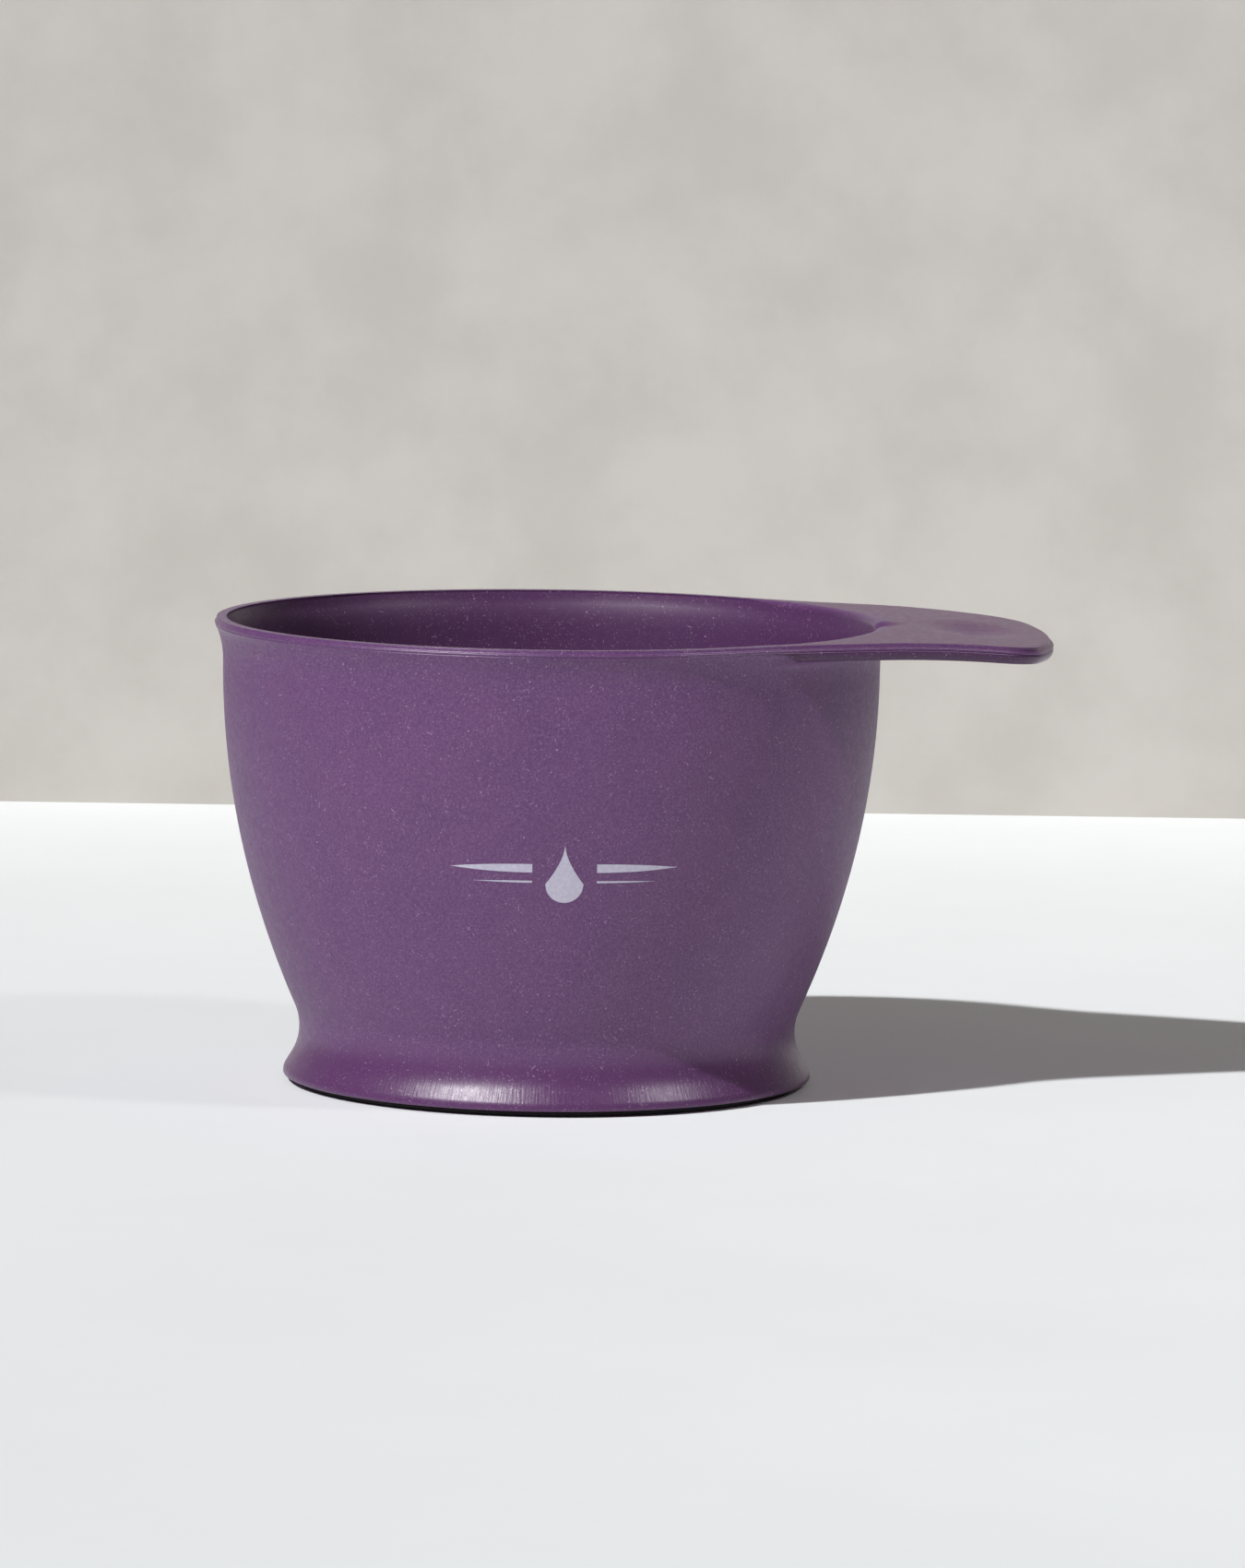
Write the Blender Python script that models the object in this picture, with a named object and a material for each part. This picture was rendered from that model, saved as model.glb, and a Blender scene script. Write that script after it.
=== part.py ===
"""Hair colour mixing bowl: a moulded shell with a flat handle, standing on a rubber ring.

The shell is one moulding: a round cup, its rolled lip, the handle that carries the lip on
outwards towards +X, and a flared skirt as a foot. A rubber ring sits in a groove in the foot.

Every length is in metres, and +Z is up. Shapes are drawn about the bowl's own axis, as points
(radius, height), and an empty then moves that axis so that the object's box is centred on the
origin, with the ring's tread at height 0.
"""

import math

import bmesh
import bpy

MM = 0.001

# Driving dimensions.
RIM_RADIUS = 60.0 * MM         # outside of the lip
HANDLE_REACH = 89.2 * MM       # bowl axis to the handle's tip
RIM_HEIGHT = 82.75 * MM        # top of the lip, ring included
BELLY_RADIUS = 58.45 * MM      # outside of the wall just under the lip
WAIST_RADIUS = 44.28 * MM      # narrowest place, above the foot
WALL = 2.0 * MM                # wall thickness, measured along the radius
PLATE = 3.0 * MM               # thickness of the handle
GAP = 0.3 * MM                 # space left between the two pieces

# Cup and foot heights.
WAIST_HEIGHT = 9.5 * MM
WAIST_ARC = 10.0 * MM          # radius of the hollow curve round the waist
WALL_EXPONENT = 2.05           # how fast the wall steepens towards the belly
WALL_START = WAIST_HEIGHT + 3.94 * MM   # where the waist's curve runs on into the wall
BELLY_HEIGHT = 75.2 * MM
FLARE_ARC = 14.0 * MM          # radius of the curve that carries the wall out to the lip
FLOOR_HEIGHT = 10.8 * MM
FLOOR_THICKNESS = 2.3 * MM
FLOOR_FILLET = 8.0 * MM
FLOOR_RADIUS = 36.7 * MM       # flat part of the floor
FLOOR_FILLET_END = -22.0       # degrees, where the fillet meets the sloping wall
FOOT_RADIUS = 47.1 * MM        # widest place of the skirt
FOOT_BOTTOM = 1.1 * MM         # underside of the skirt, above the ring's tread
FOOT_CORNER = 0.3 * MM         # between the skirt's widest place and its underside
BRIM_ROUND = 2.5 * MM          # between the skirt's flank and its widest place
SKIRT_INNER = 41.6 * MM
SKIRT_FILLET = 2.0 * MM

# Rubber ring, and the groove it sits in.
TREAD_INNER = 42.4 * MM
TREAD_OUTER = 45.1 * MM
STEM_INNER = 43.2 * MM
STEM_OUTER = 44.6 * MM
STEM_TOP = 3.4 * MM

# Handle outline: two flanks that draw together towards a round end.
FLANK_TAPER = math.radians(20.3)    # each flank's angle to the handle's centre line
FLANK_DISTANCE = 56.2 * MM          # bowl axis to the line of a flank
ROOT_FILLET = 78.0 * MM             # between the rim and a flank
END_CORNER = 12.0 * MM              # between a flank and the round end

# Handle top: a slight droop, a thumb dish and a notch that holds a tint brush.
DROOP_START = 57.0 * MM
DROOP_CURVE = 2.1                   # drop per squared metre past the start
DISH_CENTRE = 74.4 * MM
DISH_LENGTH = 10.0 * MM             # half its size along the handle
DISH_WIDTH = 16.0 * MM              # half its size across
DISH_DEPTH = 0.9 * MM
NOTCH_HALF_WIDTH = 5.5 * MM
NOTCH_START = 57.0 * MM
NOTCH_END = 63.0 * MM
NOTCH_DEPTH = 1.3 * MM

# Lip and handle edge.
LIP_THICKENING = 0.45 * MM          # how much thicker the wall is at the lip
LIP_INNER = 57.9 * MM               # where the lip's flat top starts
LIP_ROUND = 0.7 * MM                # height of the curve up to it
HANDLE_INNER = 60.5 * MM            # the same two at the handle, which has room for a wide curve
HANDLE_ROUND = 3.0 * MM
EDGE_ROUND = 0.7 * MM               # outer edge of the lip and of the handle
EDGE_BLEND = 3.0 * MM               # extra reach at which the handle's full edge has formed
UNDER_BLEND = 1.2 * MM              # height over which the handle's underside meets the wall

AXIS_X = (RIM_RADIUS - HANDLE_REACH) / 2


def smooth_step(value):
    """Rise smoothly from 0 to 1 while value goes from 0 to 1."""
    value = min(max(value, 0.0), 1.0)
    return value * value * (3 - 2 * value)


def mix(start, end, share):
    return start + (end - start) * share


def arc(centre, radius, start, end, steps):
    """Points from angle start to angle end, in degrees, both ends included."""
    points = []
    for step in range(steps + 1):
        angle = math.radians(mix(start, end, step / steps))
        points.append((centre[0] + radius * math.cos(angle), centre[1] + radius * math.sin(angle)))
    return points


def evenly(start, end, steps):
    """Numbers from start to end, both included."""
    return [mix(start, end, step / steps) for step in range(steps + 1)]


# ---------------------------------------------------------------- outline seen from above

def handle_outline():
    """Half of the outline as (angle, radius) about the bowl's axis, tip to back."""
    normal = (math.sin(FLANK_TAPER), math.cos(FLANK_TAPER))
    along = (math.cos(FLANK_TAPER), -math.sin(FLANK_TAPER))

    def circle_beside_flank(offset, axis_distance):
        """Centre of a circle at a given distance from the bowl's axis, offset from the flank."""
        out = FLANK_DISTANCE + offset
        run = math.sqrt(axis_distance ** 2 - out ** 2)
        return (out * normal[0] + run * along[0], out * normal[1] + run * along[1])

    corner = circle_beside_flank(-END_CORNER, HANDLE_REACH - END_CORNER)
    root = circle_beside_flank(ROOT_FILLET, RIM_RADIUS + ROOT_FILLET)
    corner_angle = math.degrees(math.atan2(corner[1], corner[0]))
    root_angle = math.degrees(math.atan2(root[1], root[0]))
    flank_angle = 90 - math.degrees(FLANK_TAPER)

    tip_angles = [0.0, 2.0, 4.2, 8.0, 12.0]
    tip = [(HANDLE_REACH * math.cos(math.radians(a)), HANDLE_REACH * math.sin(math.radians(a)))
           for a in tip_angles]
    corner_arc = arc(corner, END_CORNER, corner_angle, flank_angle, 5)
    root_arc = arc(root, ROOT_FILLET, flank_angle + 180, root_angle + 180, 5)
    middle = ((corner_arc[-1][0] + root_arc[0][0]) / 2, (corner_arc[-1][1] + root_arc[0][1]) / 2)
    points = tip + corner_arc + [middle] + root_arc
    polar = [(math.atan2(y, x), math.hypot(x, y)) for x, y in points]
    side = evenly(math.radians(root_angle), math.pi / 2, 5)[1:]
    back = evenly(math.pi / 2, math.pi, 15)[1:]
    return polar + [(angle, RIM_RADIUS) for angle in side + back]


def full_outline():
    """The whole outline, anticlockwise from the tip."""
    half = handle_outline()
    other_side = [(-angle, radius) for angle, radius in reversed(half[1:-1])]
    return half + other_side


# ---------------------------------------------------------------- profile seen from the side

def waist_radius(height):
    """Outside of the hollow curve round the waist."""
    rise = height - WAIST_HEIGHT
    return WAIST_RADIUS + WAIST_ARC - math.sqrt(WAIST_ARC ** 2 - rise ** 2)


def wall_radius(height):
    """Outside of the wall, from the end of the waist's curve up to the lip."""
    if height > BELLY_HEIGHT:
        rise = height - BELLY_HEIGHT
        return BELLY_RADIUS + FLARE_ARC - math.sqrt(FLARE_ARC ** 2 - rise ** 2)
    start = waist_radius(WALL_START)
    left = (BELLY_HEIGHT - height) / (BELLY_HEIGHT - WALL_START)
    return BELLY_RADIUS - (BELLY_RADIUS - start) * left ** WALL_EXPONENT


def inner_radius(height):
    """Inside of the wall, which is a little thicker at the lip."""
    risen = smooth_step((height - BELLY_HEIGHT) / (RIM_HEIGHT - BELLY_HEIGHT))
    return wall_radius(height) - WALL - LIP_THICKENING * risen


def foot_points():
    """Waist, straight flank and rounded brim of the skirt, going down to its underside."""
    waist = (WAIST_RADIUS + WAIST_ARC, WAIST_HEIGHT)
    brim = (FOOT_RADIUS - BRIM_ROUND, FOOT_BOTTOM + FOOT_CORNER)
    apart = math.dist(waist, brim)
    flank_facing = math.degrees(math.atan2(waist[1] - brim[1], waist[0] - brim[0])
                                - math.acos((WAIST_ARC + BRIM_ROUND) / apart))
    wall_end = math.degrees(math.asin((WALL_START - WAIST_HEIGHT) / WAIST_ARC))
    corner = (FOOT_RADIUS - FOOT_CORNER, FOOT_BOTTOM + FOOT_CORNER)
    return (arc(waist, WAIST_ARC, 180 - wall_end, 180 + flank_facing, 6)[1:]
            + arc(brim, BRIM_ROUND, flank_facing, 0, 3)
            + arc(corner, FOOT_CORNER, 0, -90, 2)[1:])


def inside_points(lip_start):
    """Floor fillet and inner wall, going outwards and up to where the lip's curve starts."""
    centre = (FLOOR_RADIUS, FLOOR_HEIGHT + FLOOR_FILLET)
    fillet = arc(centre, FLOOR_FILLET, -90, FLOOR_FILLET_END, 4)
    heights = evenly(fillet[-1][1], lip_start, 7)[1:-1]
    return fillet + [(inner_radius(z), z) for z in heights]


def outside_points():
    """Outer wall, foot, groove and recess, going down and then inwards."""
    wall = [(wall_radius(z), z) for z in evenly(BELLY_HEIGHT, WALL_START, 7)]
    groove_inner = STEM_INNER - GAP
    groove_outer = STEM_OUTER + GAP
    groove_top = STEM_TOP + GAP
    groove = [(groove_outer, FOOT_BOTTOM), (groove_outer, groove_top),
              (groove_inner, groove_top), (groove_inner, FOOT_BOTTOM)]
    recess_top = FLOOR_HEIGHT - FLOOR_THICKNESS
    recess = arc((SKIRT_INNER - SKIRT_FILLET, recess_top - SKIRT_FILLET), SKIRT_FILLET, 0, 90, 2)
    return wall + foot_points() + groove + [(SKIRT_INNER, FOOT_BOTTOM)] + recess


# ---------------------------------------------------------------- lip and handle

def droop(reach):
    """How far the handle has dropped at a given distance along it."""
    return DROOP_CURVE * max(reach - DROOP_START, 0.0) ** 2


def dish(x, y):
    """Depth of the thumb dish."""
    share = ((x - DISH_CENTRE) / DISH_LENGTH) ** 2 + (y / DISH_WIDTH) ** 2
    return DISH_DEPTH * max(1 - share, 0.0) ** 2


def notch(x, y):
    """Depth of the brush notch in the lip."""
    if x < 0:
        return 0.0
    across = smooth_step(1 - abs(y) / NOTCH_HALF_WIDTH)
    along = smooth_step((NOTCH_END - x) / (NOTCH_END - NOTCH_START))
    return NOTCH_DEPTH * across * along


def section(angle, edge):
    """All points (radius, height) of the shell at one angle, from the floor to the recess."""
    formed = smooth_step((edge - RIM_RADIUS) / EDGE_BLEND)

    def place(radius, height, carved=0.0):
        x = radius * math.cos(angle)
        y = radius * math.sin(angle)
        sink = droop(x) + carved * (dish(x, y) + notch(x, y))
        return (radius, height - sink)

    rise = mix(LIP_ROUND, HANDLE_ROUND, formed)
    lip_start = RIM_HEIGHT - rise
    crest = mix(LIP_INNER, HANDLE_INNER, formed)
    wall_end = inner_radius(lip_start)
    lip = []
    for turn in evenly(0, math.pi / 2, 3):
        radius = crest - (crest - wall_end) * math.cos(turn)
        lip.append(place(radius, lip_start + rise * math.sin(turn), math.sin(turn)))
    lip += [place(radius, RIM_HEIGHT, 1.0) for radius in evenly(crest, edge - EDGE_ROUND, 5)[1:]]

    middle = RIM_HEIGHT - PLATE / 2
    underside = RIM_HEIGHT - PLATE
    root = underside - UNDER_BLEND
    flare = wall_radius(underside)
    outer = [place(edge, RIM_HEIGHT - EDGE_ROUND),
             place(mix(wall_radius(middle), edge, formed), middle),
             place(mix(flare, edge - EDGE_ROUND, formed), underside),
             place(mix(flare, (flare + edge) / 2, formed), mix((underside + root) / 2, underside, formed)),
             place(wall_radius(root), root)]
    return inside_points(lip_start) + lip + outer + outside_points()


# ---------------------------------------------------------------- meshes

def material(name, colour, roughness):
    """A plain opaque finish."""
    made = bpy.data.materials.new(name)
    made.use_nodes = True
    shader = made.node_tree.nodes["Principled BSDF"]
    shader.inputs["Base Color"].default_value = (*colour, 1.0)
    shader.inputs["Roughness"].default_value = roughness
    shader.inputs["Metallic"].default_value = 0.0
    return made


def add_object(name, mesh, finish, parent):
    made = bpy.data.objects.new(name, mesh)
    made.data.materials.append(finish)
    made.parent = parent
    bpy.context.collection.objects.link(made)
    return made


def bowl_shell(parent):
    """Cup, lip, handle and skirt as one skin, closed at the axis above and below the floor."""
    mesh = bpy.data.meshes.new("bowl_shell")
    form = bmesh.new()
    rings = []
    for angle, edge in full_outline():
        rings.append([form.verts.new((r * math.cos(angle), r * math.sin(angle), z))
                      for r, z in section(angle, edge)])
    floor = form.verts.new((0, 0, FLOOR_HEIGHT))
    underside = form.verts.new((0, 0, FLOOR_HEIGHT - FLOOR_THICKNESS))
    for ring, following in zip(rings, rings[1:] + rings[:1]):
        form.faces.new((floor, ring[0], following[0]))
        form.faces.new((underside, following[-1], ring[-1]))
        for step in range(len(ring) - 1):
            form.faces.new((ring[step], ring[step + 1], following[step + 1], following[step]))
    bmesh.ops.recalc_face_normals(form, faces=form.faces)
    bmesh.ops.triangulate(form, faces=form.faces)
    form.to_mesh(mesh)
    form.free()
    mesh.shade_smooth()
    mesh.set_sharp_from_angle(angle=math.radians(35))
    plastic = material("bowl_plastic", (0.105, 0.048, 0.115), 0.38)
    return add_object("bowl_shell", mesh, plastic, parent)


def non_slip_ring(parent):
    """Rubber ring with a wide tread and a narrower stem, turned about the bowl's axis."""
    tread_top = FOOT_BOTTOM - GAP
    profile = [(STEM_OUTER, STEM_TOP), (STEM_OUTER, tread_top), (TREAD_OUTER, tread_top),
               (TREAD_OUTER, 0), (TREAD_INNER, 0), (TREAD_INNER, tread_top),
               (STEM_INNER, tread_top), (STEM_INNER, STEM_TOP)]
    mesh = bpy.data.meshes.new("non_slip_ring")
    form = bmesh.new()
    corners = [form.verts.new((radius, 0, height)) for radius, height in profile]
    for first, second in zip(corners, corners[1:] + corners[:1]):
        form.edges.new((first, second))
    form.to_mesh(mesh)
    form.free()
    ring = add_object("non_slip_ring", mesh, material("ring_rubber", (0.012, 0.012, 0.013), 0.7), parent)
    turn = ring.modifiers.new("turn", "SCREW")
    turn.axis = "Z"
    turn.angle = math.tau
    turn.steps = 72
    turn.render_steps = 72
    turn.use_merge_vertices = True
    turn.merge_threshold = 0.00005
    turn.use_smooth_shade = False
    return ring


def build():
    for old in list(bpy.data.objects):
        bpy.data.objects.remove(old)
    axis = bpy.data.objects.new("bowl_axis", None)
    axis.location = (AXIS_X, 0, 0)
    bpy.context.collection.objects.link(axis)
    bowl_shell(axis)
    non_slip_ring(axis)


build()
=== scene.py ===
"""Looks of the hair colour bowl: a fine skin for the shell, a softened ring and a printed mark.

Lengths are in metres. The shell is drawn about the bowl's own axis as points (radius, height),
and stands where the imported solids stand. The handle points to +X and the front faces -Y.
"""

import math

import bpy
from mathutils import Euler, Matrix, Vector


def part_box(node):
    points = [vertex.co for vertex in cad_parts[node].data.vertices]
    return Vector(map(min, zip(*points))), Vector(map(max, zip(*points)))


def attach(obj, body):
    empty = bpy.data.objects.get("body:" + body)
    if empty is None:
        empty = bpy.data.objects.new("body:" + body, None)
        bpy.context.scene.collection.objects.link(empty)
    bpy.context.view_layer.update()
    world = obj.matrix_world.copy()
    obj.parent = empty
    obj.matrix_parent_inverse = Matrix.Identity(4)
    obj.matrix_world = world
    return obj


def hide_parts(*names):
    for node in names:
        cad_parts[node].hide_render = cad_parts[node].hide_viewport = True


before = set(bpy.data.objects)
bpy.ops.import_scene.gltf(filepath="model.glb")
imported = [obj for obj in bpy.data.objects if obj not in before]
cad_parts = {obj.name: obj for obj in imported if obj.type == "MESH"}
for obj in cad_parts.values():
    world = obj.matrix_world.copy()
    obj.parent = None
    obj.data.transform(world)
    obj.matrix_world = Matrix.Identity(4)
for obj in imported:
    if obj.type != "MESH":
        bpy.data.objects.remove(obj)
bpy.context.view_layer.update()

MM = 0.001

# ---------------------------------------------------------------- sizes from the frame

shell_low, shell_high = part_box("bowl_shell")
ring_low, ring_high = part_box("non_slip_ring")

RIM_RADIUS = (shell_high.y - shell_low.y) / 2
AXIS_X = shell_low.x + RIM_RADIUS
HANDLE_REACH = shell_high.x - AXIS_X
TOP = shell_high.z
FOOT_BOTTOM = shell_low.z
TREAD_OUTER = (ring_high.y - ring_low.y) / 2
STEM_TOP = ring_high.z

# ---------------------------------------------------------------- the shell's own sizes

# Cup: a belly that flares to the lip, and a waist above the skirt.
WALL = 2.0 * MM
BELLY_RADIUS = 58.45 * MM
BELLY_HEIGHT = 75.2 * MM
FLARE_ARC = 14.0 * MM
WAIST_RADIUS = 44.28 * MM
WAIST_HEIGHT = 9.5 * MM
WAIST_ARC = 10.0 * MM
WALL_EXPONENT = 2.05
WALL_START = WAIST_HEIGHT + 3.94 * MM    # where the waist's arc runs into the wall's curve

FLOOR_HEIGHT = 10.8 * MM
FLOOR_THICKNESS = 2.3 * MM
FLOOR_FILLET = 8.0 * MM
FLOOR_RADIUS = 36.7 * MM
FLOOR_FILLET_END = -22.0                 # in degrees, where the fillet meets the inner wall

# Foot: a skirt with a rounded brim, hollow below, with a groove for the rubber ring.
FOOT_RADIUS = 47.1 * MM
FOOT_CORNER = 0.3 * MM
BRIM_ROUND = 2.5 * MM
SKIRT_INNER = 41.6 * MM
SKIRT_FILLET = 2.0 * MM
RECESS_TOP = FLOOR_HEIGHT - FLOOR_THICKNESS

GAP = 0.3 * MM
GROOVE_TOP = STEM_TOP + GAP
TREAD_INNER = 42.4 * MM
STEM_INNER = 43.2 * MM
STEM_OUTER = 44.6 * MM
TREAD_ROUND = 0.22 * MM

# Handle, seen from above: straight flanks with a wide root fillet and rounded end corners.
FLANK_TAPER = math.radians(20.3)
FLANK_DISTANCE = 56.2 * MM
ROOT_FILLET = 78.0 * MM
END_CORNER = 12.0 * MM

# Handle's top: it droops a little past DROOP_START, by DROOP_CURVE times the distance squared.
DROOP_START = 57.0 * MM
DROOP_CURVE = 2.1
DISH_CENTRE = 74.4 * MM
DISH_LENGTH = 10.0 * MM
DISH_WIDTH = 16.0 * MM
DISH_DEPTH = 1.25 * MM
NOTCH_HALF_WIDTH = 5.5 * MM
NOTCH_START = 57.0 * MM
NOTCH_END = 63.0 * MM
NOTCH_DEPTH = 1.5 * MM

LIP_THICKENING = 0.45 * MM
LIP_INNER = 57.9 * MM           # where the lip's flat top starts
LIP_INNER_HANDLE = 59.4 * MM    # the same, where the handle leaves room for a wider curve
LIP_ROUND = 0.45 * MM           # height of the curve from the inner wall to the top
LIP_ROUND_HANDLE = 1.4 * MM
FORMED_REACH = 3.0 * MM         # extra reach at which the handle's edge is fully formed

# Edge of the lip and of the handle, as (inset from the outline, drop from the top), in mm.
# Both step out to a fine bead at the mould's parting line, with a groove and a second bead below.
LIP_EDGE = [(0.42, 0.00), (0.36, 0.03), (0.33, 0.10), (0.28, 0.50), (0.24, 0.62), (0.14, 0.70),
            (0.04, 0.80), (0.00, 0.93), (0.03, 1.05), (0.13, 1.13), (0.17, 1.19), (0.13, 1.26),
            (0.10, 1.34), (0.13, 1.48)]
HANDLE_EDGE = [(0.84, 0.00), (0.79, 0.02), (0.77, 0.08), (0.75, 0.56), (0.70, 0.67), (0.30, 0.70),
               (0.09, 0.76), (0.00, 0.90), (0.04, 1.04), (0.17, 1.12), (0.20, 1.19), (0.12, 1.26),
               (0.05, 1.36), (0.05, 1.55)]
HANDLE_UNDER = [(0.06, 1.80), (0.14, 2.12), (0.30, 2.44), (0.55, 2.72), (0.90, 2.91), (1.30, 3.00)]
LIP_EDGE_END = 2.2              # drop at which the lip's edge has run into the wall, in mm
PLATE = 3.0 * MM
UNDER_FILLET = 2.0 * MM

SHARP_ANGLE = math.radians(50)  # edges sharper than this aren't smoothed


def mix(start, end, share):
    return start + (end - start) * share


def smooth_step(value):
    """Rise smoothly from 0 to 1 while value goes from 0 to 1."""
    value = min(max(value, 0.0), 1.0)
    return value * value * (3 - 2 * value)


def evenly(start, end, steps):
    """Numbers from start to end, both included."""
    return [mix(start, end, step / steps) for step in range(steps + 1)]


def arc(centre, radius, start, end, steps):
    """Points from angle start to angle end, in degrees, both ends included."""
    return [(centre[0] + radius * math.cos(math.radians(angle)),
             centre[1] + radius * math.sin(math.radians(angle)))
            for angle in evenly(start, end, steps)]


# ---------------------------------------------------------------- outline seen from above

SLANT_LIMIT = 2.0
MIN_STEP = 0.01 * MM            # outline points closer than this are one point
TIP_STEPS = 22
CORNER_STEPS = 14
FLANK_STEPS = 16
ROOT_STEPS = 20
RIM_STEPS = 80


def half_outline():
    """Half of the outline, tip to back, as (angle, radius, slant).

    Slant is how much longer a step along the radius is than the same step square to the outline.
    """
    normal = Vector((math.sin(FLANK_TAPER), math.cos(FLANK_TAPER)))
    along = Vector((math.cos(FLANK_TAPER), -math.sin(FLANK_TAPER)))

    def circle_beside_flank(offset, axis_distance):
        out = FLANK_DISTANCE + offset
        return out * normal + math.sqrt(axis_distance ** 2 - out ** 2) * along

    corner = circle_beside_flank(-END_CORNER, HANDLE_REACH - END_CORNER)
    root = circle_beside_flank(ROOT_FILLET, RIM_RADIUS + ROOT_FILLET)
    corner_angle = math.degrees(math.atan2(corner.y, corner.x))
    root_angle = math.degrees(math.atan2(root.y, root.x))
    flank_angle = 90 - math.degrees(FLANK_TAPER)

    tip = arc((0, 0), HANDLE_REACH, 0, corner_angle, TIP_STEPS)
    end_corner = arc(corner, END_CORNER, corner_angle, flank_angle, CORNER_STEPS)
    root_curve = arc(root, ROOT_FILLET, flank_angle + 180, root_angle + 180, ROOT_STEPS)
    rim = arc((0, 0), RIM_RADIUS, root_angle, 180, RIM_STEPS)
    flank_start, flank_end = Vector(end_corner[-1]), Vector(root_curve[0])
    flank = [flank_start.lerp(flank_end, share) for share in evenly(0, 1, FLANK_STEPS)]

    # Each stretch has its arc's centre and 1, or -1 where that centre lies outside the outline.
    axis = Vector((0, 0))
    stretches = [(tip, axis, 1), (end_corner, corner, 1), (flank, None, 1),
                 (root_curve, root, -1), (rim, axis, 1)]
    outline = []
    for points, centre, side in stretches:
        for point in points:
            place = Vector(point)
            facing = normal if centre is None else (place - centre).normalized() * side
            slant = 1 / max(facing.dot(place.normalized()), 1 / SLANT_LIMIT)
            if not outline or (place - outline[-1][3]).length > MIN_STEP:
                outline.append((math.atan2(place.y, place.x), place.length, slant, place))
    return [(angle, radius, slant) for angle, radius, slant, place in outline]


def full_outline():
    """The whole outline, anticlockwise from the tip."""
    half = half_outline()
    return half + [(-angle, radius, slant) for angle, radius, slant in reversed(half[1:-1])]


# ---------------------------------------------------------------- profile seen from the side

def waist_radius(height):
    rise = height - WAIST_HEIGHT
    return WAIST_RADIUS + WAIST_ARC - math.sqrt(WAIST_ARC ** 2 - rise ** 2)


def wall_radius(height):
    """Outside of the cup's wall and of the waist."""
    if height < WALL_START:
        return waist_radius(height)
    if height > BELLY_HEIGHT:
        rise = height - BELLY_HEIGHT
        return BELLY_RADIUS + FLARE_ARC - math.sqrt(FLARE_ARC ** 2 - rise ** 2)
    start = waist_radius(WALL_START)
    left = (BELLY_HEIGHT - height) / (BELLY_HEIGHT - WALL_START)
    return BELLY_RADIUS - (BELLY_RADIUS - start) * left ** WALL_EXPONENT


def inner_radius(height):
    """Inside of the wall, which is a little thicker at the lip."""
    risen = smooth_step((height - BELLY_HEIGHT) / (TOP - BELLY_HEIGHT))
    return wall_radius(height) - WALL - LIP_THICKENING * risen


FOOT_STEPS = 20
BRIM_STEPS = 8
FOOT_CORNER_STEPS = 5


def foot_points():
    """Waist, straight flank and rounded brim of the skirt, going down to its underside."""
    waist = (WAIST_RADIUS + WAIST_ARC, WAIST_HEIGHT)
    brim = (FOOT_RADIUS - BRIM_ROUND, FOOT_BOTTOM + FOOT_CORNER)
    apart = math.dist(waist, brim)
    flank_facing = math.degrees(math.atan2(waist[1] - brim[1], waist[0] - brim[0])
                                - math.acos((WAIST_ARC + BRIM_ROUND) / apart))
    wall_end = math.degrees(math.asin((WALL_START - WAIST_HEIGHT) / WAIST_ARC))
    corner = (FOOT_RADIUS - FOOT_CORNER, FOOT_BOTTOM + FOOT_CORNER)
    return (arc(waist, WAIST_ARC, 180 - wall_end, 180 + flank_facing, FOOT_STEPS)[1:]
            + arc(brim, BRIM_ROUND, flank_facing, 0, BRIM_STEPS)
            + arc(corner, FOOT_CORNER, 0, -90, FOOT_CORNER_STEPS)[1:])


FLOOR_FIRST = FLOOR_RADIUS / 5  # innermost circle of points on the floor and below it
FLOOR_STEPS = 4
FLOOR_FILLET_STEPS = 12
INNER_WALL_STEPS = 34
OUTER_WALL_STEPS = 44
SKIRT_FILLET_STEPS = 6


def inside_points(lip_start):
    """Floor, its fillet and the inner wall up to where the lip's curve starts."""
    floor = [(radius, FLOOR_HEIGHT)
             for radius in evenly(FLOOR_FIRST, FLOOR_RADIUS, FLOOR_STEPS)[:-1]]
    centre = (FLOOR_RADIUS, FLOOR_HEIGHT + FLOOR_FILLET)
    fillet = arc(centre, FLOOR_FILLET, -90, FLOOR_FILLET_END, FLOOR_FILLET_STEPS)
    heights = evenly(fillet[-1][1], lip_start, INNER_WALL_STEPS)[1:-1]
    return floor + fillet + [(inner_radius(z), z) for z in heights]


def outside_points(wall_top):
    """Outer wall, waist, foot, groove and recess, going down and then inwards."""
    wall = [(wall_radius(z), z) for z in evenly(wall_top, WALL_START, OUTER_WALL_STEPS)[1:]]
    groove = [(STEM_OUTER + GAP, FOOT_BOTTOM), (STEM_OUTER + GAP, GROOVE_TOP),
              (STEM_INNER - GAP, GROOVE_TOP), (STEM_INNER - GAP, FOOT_BOTTOM)]
    centre = (SKIRT_INNER - SKIRT_FILLET, RECESS_TOP - SKIRT_FILLET)
    recess = arc(centre, SKIRT_FILLET, 0, 90, SKIRT_FILLET_STEPS)
    under = [(radius, RECESS_TOP)
             for radius in evenly(recess[-1][0], FLOOR_FIRST, FLOOR_STEPS)[1:]]
    return wall + foot_points() + groove + [(SKIRT_INNER, FOOT_BOTTOM)] + recess + under


# ---------------------------------------------------------------- lip and handle

def droop(x):
    return DROOP_CURVE * max(x - DROOP_START, 0.0) ** 2


def dish(x, y):
    """Depth of the thumb dish."""
    share = ((x - DISH_CENTRE) / DISH_LENGTH) ** 2 + (y / DISH_WIDTH) ** 2
    return DISH_DEPTH * max(1 - share, 0.0) ** 2


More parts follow.
